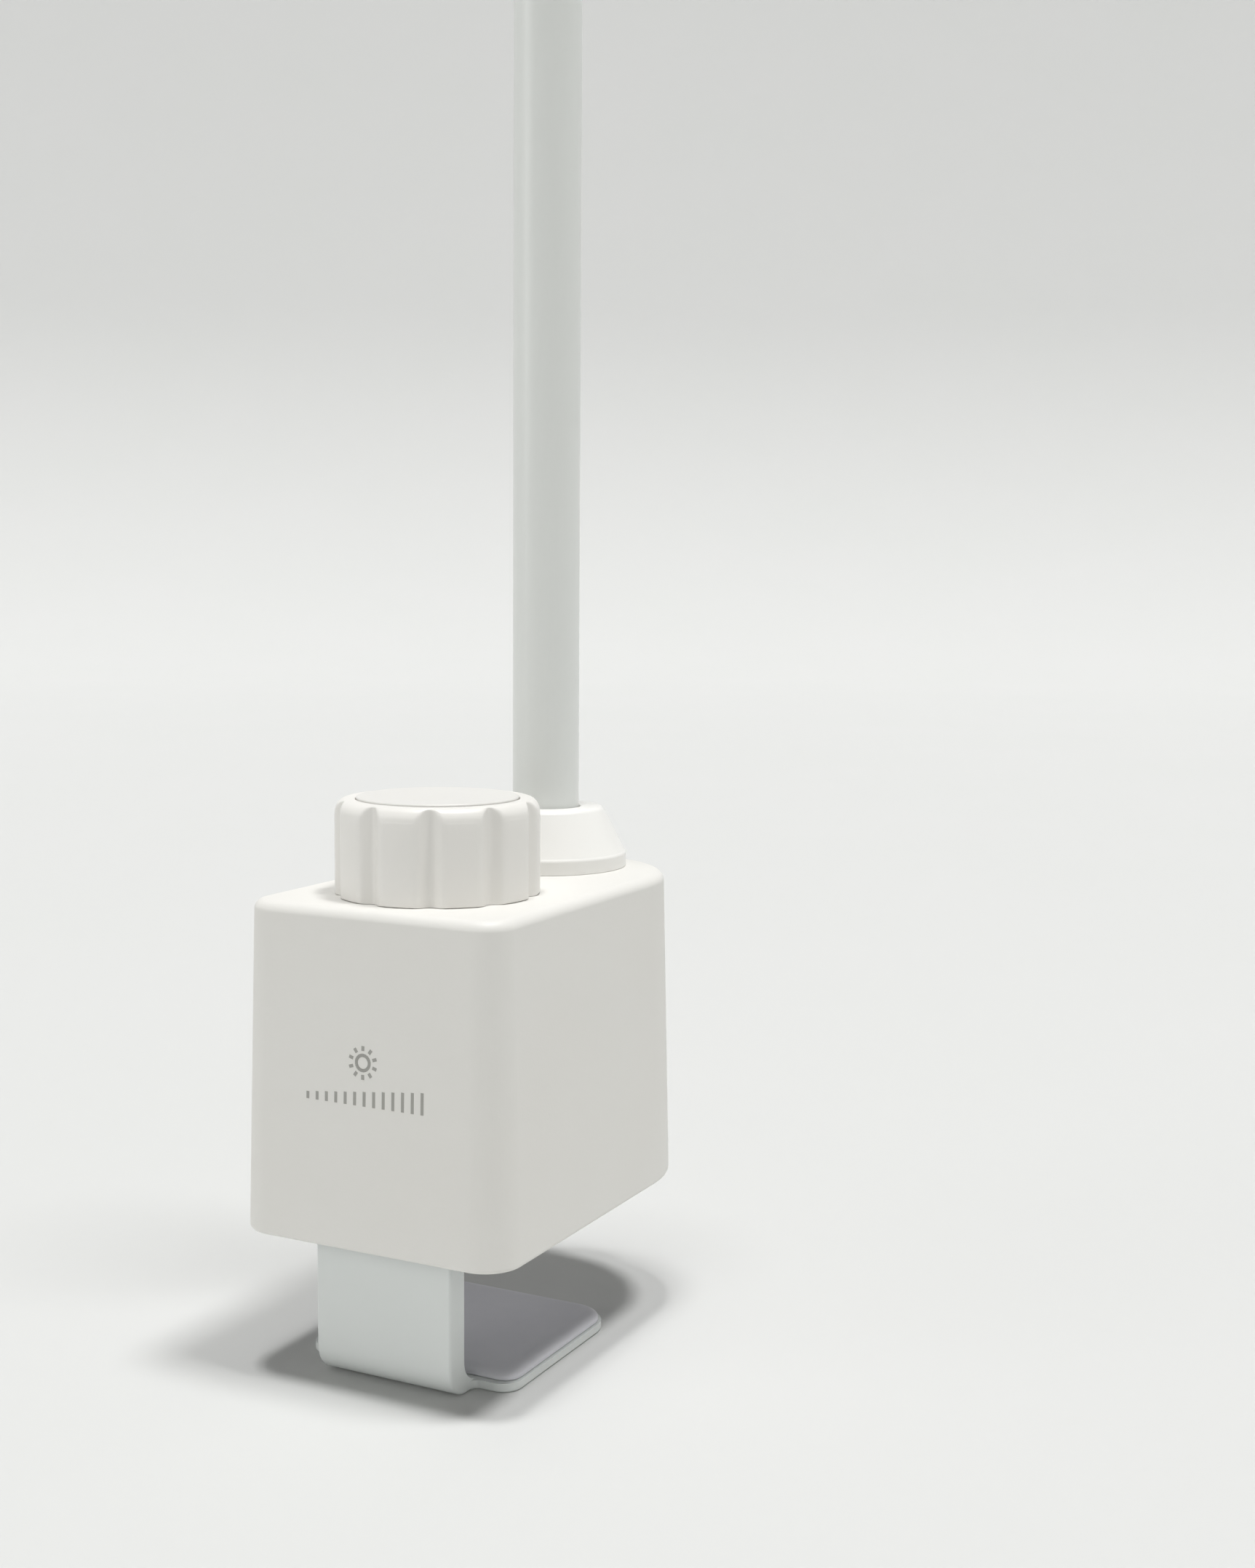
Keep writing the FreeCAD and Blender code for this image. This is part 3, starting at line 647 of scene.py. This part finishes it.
def upper_pad_piece():
    """Cast pad under the housing, with a rounded edge where it meets the desk."""
    low, high = span("upper_pad")
    profile = eased([(-2.0, low.z), (0, low.z, 0.4), (0, high.z, 0.1), (-2.0, high.z)], closed=False)
    sheet = plan_stack(profile, high.x, low.y, high.y, UPPER_PAD_CORNER, UPPER_PAD_CORNER, steps=8)
    return piece("upper_pad_sheet", sheet, "base", silicone, ["upper_pad"])


# ---- printed mark -------------------------------------------------------------------
def stroke(bm, start, end, base):
    """One printed stroke between two (x, z) points: a thin raised bar on the drafted front."""
    along = (end - start).normalized()
    across = Vector((-along.y, along.x)) * STROKE_WIDTH / 2
    corners = []
    for lift in (INK_SUNK, -INK_FILM):
        for point in (start - across, end - across, end + across, start + across):
            y = HOUSING_FRONT + DRAFT * (point.y - base) + lift
            corners.append(bm.verts.new(Vector((point.x, y, point.y)) * MM))
    for face in ((0, 1, 2, 3), (7, 6, 5, 4), (0, 4, 5, 1), (1, 5, 6, 2), (2, 6, 7, 3), (3, 7, 4, 0)):
        bm.faces.new([corners[index] for index in face])


def from_sun(radius, angle):
    """The (x, z) point at a radius and an angle from the sun's centre."""
    return SUN_CENTRE + Vector((radius * math.cos(angle), radius * math.sin(angle)))


def mark_piece():
    """A plain printed sign: a sun over a rising row of ticks, as for a dimmer."""
    base = span("housing_shell")[0].z
    bm = bmesh.new()
    sides = 24
    overlap = 0.03
    for side in range(sides):
        start = math.tau * (side - overlap) / sides
        end = math.tau * (side + 1 + overlap) / sides
        stroke(bm, from_sun(SUN_RADIUS, start), from_sun(SUN_RADIUS, end), base)
    for ray in range(RAYS):
        angle = math.tau * (ray + 0.5) / RAYS
        stroke(bm, from_sun(RAY_START, angle), from_sun(RAY_END, angle), base)
    for tick in range(TICKS):
        along = tick / (TICKS - 1)
        foot = Vector((TICK_ROW * (along - 0.5), TICK_FOOT))
        stroke(bm, foot, foot + Vector((0, TICK_SHORTEST + TICK_GROWTH * along)), base)
    return piece("printed_mark", bm, "base", pad_ink)


# ---- light bar ------------------------------------------------------------------------
def bar_section(half, bottom, top, inset_x=0.0, inset_z=0.0):
    """The bar's outer (x, z) section, drawn in by the insets: square below and rounded above."""
    left = -half + inset_x
    right = half - inset_x
    under = bottom + inset_z
    over = top - inset_z
    return eased([
        (left, under, CAP_EDGE), (left, over, BAR_CORNER), (right, over, BAR_CORNER),
        (right, under, CAP_EDGE),
    ], steps=8)


def channel_piece():
    """Extruded channel, open below for the diffuser, with the button's hole through its top."""
    low, high = span("head_channel")
    outer = high.x
    inner = outer - BAR_WALL
    ceiling = high.z - BAR_WALL
    section = eased([
        (-outer, low.z, BAR_EDGE), (-outer, high.z, BAR_CORNER),
        (outer, high.z, BAR_CORNER), (outer, low.z, BAR_EDGE),
        (inner, low.z, BAR_EDGE), (inner, ceiling, BAR_INNER_CORNER),
        (-inner, ceiling, BAR_INNER_CORNER), (-inner, low.z, BAR_EDGE),
    ], steps=8)
    channel = drawn_along_y(section, low.y, high.y)
    made = piece("bar_channel", channel, "head", bar_paint, ["head_channel"])
    hole_radius = BUTTON_RADIUS + BUTTON_GAP
    drill(made, (0, middle_y("dimmer_button"), high.z), (0, 0, 1), hole_radius, length=8)
    return made


def cap_piece(name, node, outward):
    """Moulded end cap: its outer face is crowned by rounding, its plug fills the channel's end."""
    low, high = span(node)
    outer_y = high.y if outward > 0 else low.y
    crown_rows = 8
    sections = []
    for row in range(crown_rows + 1):
        angle = math.radians(90 * row / crown_rows)
        away = CAP_CROWN * (1 - math.sin(angle))
        depth = CAP_CROWN * (1 - math.cos(angle))
        sections.append((depth, bar_section(high.x, low.z, high.z, away, away * CAP_CROWN_FLATTENING)))
    for depth, side, under, over in CAP_PLUG:
        sections.append((depth, bar_section(high.x - side, low.z + under, high.z - over)))
    rings = [[(x, outer_y - outward * depth, z) for x, z in outline] for depth, outline in sections]
    return piece(name, skin(rings), "head", smooth_abs, [node])


def diffuser_piece():
    """Extruded opal strip with fine ribs along its underside that spread the light."""
    low, high = span("diffuser")
    half = high.x
    ribbed = half - RIB_MARGIN
    edge = low.z + RIB_MIDDLE + RIB_SWING
    points_per_rib = 4
    points = RIBS * points_per_rib
    section = [(-half, edge), (-half, high.z), (half, high.z), (half, edge)]
    for point in range(points):
        across = ribbed - 2 * ribbed * (point + 0.5) / points
        wave = math.cos(math.tau * (point + 0.5) / points_per_rib)
        section.append((across, low.z + RIB_MIDDLE - RIB_SWING * wave))
    strip = drawn_along_y(section, low.y, high.y)
    return piece("diffuser_strip", strip, "head", opal, ["diffuser"], crease=60)


def button_piece():
    """Round push button with a dished top and a retaining flange under the channel."""
    low, high = span("dimmer_button")
    dish = high.z - BUTTON_DISH
    rim = BUTTON_RADIUS - BUTTON_RIM
    flange_top = high.z - BUTTON_PROUD - BAR_WALL - BUTTON_SLACK
    flange_bottom = flange_top - BUTTON_FLANGE
    profile = eased([
        (CORE, dish), (rim - 0.7, dish + 0.05, 0.6), (rim, high.z, 0.3), (BUTTON_RADIUS, high.z, 0.4),
        (BUTTON_RADIUS, flange_top, 0.1), (high.x, flange_top, 0.1), (high.x, flange_bottom, 0.1),
        (BUTTON_STEM, flange_bottom), (BUTTON_STEM, low.z), (CORE, low.z),
    ], closed=False)
    cap = turned(profile, middle_y("dimmer_button"), steps=96)
    return piece("dimmer_cap", cap, "button", smooth_abs, ["dimmer_button"])


# ---- carried-over pieces -------------------------------------------------------------
# how far the edges of each outer CAD node are broken, mm
SOFTENED = {
    "jaw_strap": 0.2,
    "base_plate": 0.3,
    "yoke": 0.35,
    "hinge_bolt": 0.25,
    "hinge_nut": 0.3,
    "head_bracket": 0.2,
    "jaw_guide": 0.2,
    "dc_jack": 0.2,
    "jack_nut": 0.25,
    "base_screws": 0.12,
}


def break_edges(made, width):
    """Joins a CAD mesh's corners and flat faces, then rounds its sharp edges by a width in mm."""
    made.modifiers.new("join", "WELD").merge_threshold = 0.002 * MM
    flat = made.modifiers.new("flat_faces", "DECIMATE")
    flat.decimate_type = "DISSOLVE"
    flat.angle_limit = math.radians(0.5)
    edge = made.modifiers.new("broken_edges", "BEVEL")
    edge.width = width * MM
    edge.segments = 3
    edge.limit_method = "ANGLE"
    edge.angle_limit = math.radians(35)
    edge.miter_outer = "MITER_ARC"
    shade_evenly(made)


def dress_frame_nodes():
    """Gives every CAD node its slot's finish, and breaks the sharp edges of the outer ones."""
    slots = {sub["node"]: sub["material_slot"] for sub in frame["record"]["subparts"]}
    for name, made in frame["nodes"].items():
        made.data.materials.clear()
        made.data.materials.append(SLOT_FINISH[slots[name]])
        if name in SOFTENED:
            break_edges(made, SOFTENED[name])


# ---- studio -----------------------------------------------------------------------------
# camera: its place in metres, its lens in millimetres, and how far it is turned, dipped and rolled
CAMERA_PLACE = (0.17555, -0.27791, 0.10998)
LENS = 44.907
HEADING = math.radians(26.71)
DIP = math.radians(6.06)
ROLL = math.radians(-0.41)

# sweep, in metres: the flat floor's radius, the bend's, and the length and lean of the backdrop
FLOOR_RADIUS = 2.2
BEND_RADIUS = 1.3
BACKDROP = 5.0
LEAN = math.radians(58)

# strength of the sky at the horizon and overhead, and each lamp's direction, strength and width
HORIZON = 0.02
CEILING = 0.10
LAMPS = (
    ("overhead_right", (0.24, 0.06, 1.0), 0.56, 10),
    ("overhead", (-0.01, -0.07, 1.0), 0.48, 8),
    ("left_fill", (-0.66, -0.69, 0.25), 0.138, 28),
)


def set_camera():
    """Looks slightly down at the lamp from the right front."""
    data = bpy.data.cameras.new("camera")
    data.sensor_fit = "VERTICAL"
    data.sensor_height = 36
    data.lens = LENS
    data.clip_start = 0.01
    data.clip_end = 60
    made = bpy.data.objects.new("camera", data)
    bpy.context.scene.collection.objects.link(made)
    ahead = Vector((-math.sin(HEADING), math.cos(HEADING), 0))
    forward = ahead * math.cos(DIP) - Vector((0, 0, math.sin(DIP)))
    right = Vector((math.cos(HEADING), math.sin(HEADING), 0))
    up = right.cross(forward)
    across = right * math.cos(ROLL) - up * math.sin(ROLL)
    upright = right * math.sin(ROLL) + up * math.cos(ROLL)
    turn = Matrix((across, upright, -forward)).transposed().to_4x4()
    made.matrix_world = Matrix.Translation(CAMERA_PLACE) @ turn
    bpy.context.scene.camera = made


def stage_material():
    """Matt painted card: an even pale sheet with a barely seen mottle."""
    made = bpy.data.materials.new("painted_card")
    made.use_nodes = True
    tree = made.node_tree
    tree.nodes.clear()
    place = add(tree, "TexCoord").outputs["Object"]
    mottle = add(tree, "TexNoise", {"Scale": 6.0, "Detail": 2.0}, {"Vector": place})
    tint = add(tree, "Mix", {"data_type": "RGBA", 6: linear("#D0D0CF"), 7: linear("#CECFCD")},
               {0: mottle.outputs["Fac"]})
    shader = add(tree, "BsdfPrincipled", {"Roughness": 0.75, "Specular IOR Level": 0.2},
                 {"Base Color": tint.outputs[2]})
    add(tree, "OutputMaterial", {}, {"Surface": shader.outputs["BSDF"]})
    return made


def set_stage():
    """Seamless round sweep: a floor that curves up into a leaning backdrop on every side."""
    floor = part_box("jaw_strap")[0].z
    profile = [(0.02, 0.0), (0.3, 0.0), (1.2, 0.0), (FLOOR_RADIUS, 0.0)]
    bend_steps = 20
    for step in range(1, bend_steps + 1):
        angle = LEAN * step / bend_steps
        profile.append((FLOOR_RADIUS + BEND_RADIUS * math.sin(angle), BEND_RADIUS * (1 - math.cos(angle))))
    bend_end, bend_top = profile[-1]
    profile.append((bend_end + BACKDROP * math.cos(LEAN), bend_top + BACKDROP * math.sin(LEAN)))
    steps = 96
    bm = bmesh.new()
    rings = []
    for radius, up in profile:
        angles = [step * math.tau / steps for step in range(steps)]
        rings.append([bm.verts.new((radius * math.cos(a), radius * math.sin(a), up)) for a in angles])
    bm.faces.new(rings[0])
    for here, there in zip(rings[:-1], rings[1:]):
        for index in range(steps):
            following = (index + 1) % steps
            bm.faces.new((here[index], here[following], there[following], there[index]))
    bmesh.ops.recalc_face_normals(bm, faces=bm.faces)
    mesh = bpy.data.meshes.new("sweep")
    bm.to_mesh(mesh)
    bm.free()
    mesh.polygons.foreach_set("use_smooth", [True] * len(mesh.polygons))
    mesh.materials.append(stage_material())
    made = bpy.data.objects.new("sweep", mesh)
    bpy.context.scene.collection.objects.link(made)
    made.matrix_world = Matrix.Translation((0, 0, floor))
    made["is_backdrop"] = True


def sunlike(name, towards, strength, spread):
    """A far lamp in one direction, as wide in degrees as a large softbox looks."""
    data = bpy.data.lights.new(name, "SUN")
    data.energy = strength
    data.angle = math.radians(spread)
    made = bpy.data.objects.new(name, data)
    bpy.context.scene.collection.objects.link(made)
    made.rotation_euler = Vector(towards).to_track_quat("Z", "Y").to_euler()
    return made


def set_lights():
    """A dim horizon under a soft sky, two lamps nearly overhead and a weak low one at the left front.

    Each lamp is there twice. The first lights the stand and the sweep, with no shadow of the light
    bar on them. The second lights only the light bar, which the stand and the bar itself shade."""
    world = bpy.data.worlds.new("studio")
    world.use_nodes = True
    tree = world.node_tree
    tree.nodes.clear()
    place = add(tree, "TexCoord").outputs["Generated"]
    height = add(tree, "SeparateXYZ", {}, {"Vector": place}).outputs["Z"]
    glow = add(tree, "MapRange", {"From Min": 0.0, "From Max": 1.0, "To Min": HORIZON, "To Max": CEILING},
               {"Value": height})
    background = add(tree, "Background", {"Color": linear("#FCFEFD")}, {"Strength": glow.outputs["Result"]})
    add(tree, "OutputWorld", {}, {"Surface": background.outputs["Background"]})
    bpy.context.scene.world = world

    groups = [bpy.data.collections.new(name) for name in ("light_bar", "stand", "stand_and_sweep", "lamp")]
    light_bar, stand, stand_and_sweep, lamp = groups
    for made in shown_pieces():
        on_bar = {"head", "button"} & set(body_of(made))
        for group in (light_bar, lamp) if on_bar else (stand, stand_and_sweep, lamp):
            group.objects.link(made)
    stand_and_sweep.objects.link(bpy.data.objects["sweep"])
    for name, towards, strength, spread in LAMPS:
        for ending, lit, shading in (("", stand_and_sweep, stand), ("_on_bar", light_bar, lamp)):
            made = sunlike(name + ending, towards, strength * math.pi, spread)
            made.light_linking.receiver_collection = lit
            made.light_linking.blocker_collection = shading


piece_makers = (housing_piece, knob_piece, knob_disc_piece, collar_piece, pole_piece, jaw_pad_piece,
                upper_pad_piece, mark_piece, channel_piece, diffuser_piece, button_piece)
dress_frame_nodes()
for make in piece_makers:
    make()
cap_piece("bar_cap_inner", "cap_inner", -1)
cap_piece("bar_cap_outer", "cap_outer", 1)

set_camera()
set_stage()
set_lights()
bpy.context.scene.view_settings.view_transform = "Standard"
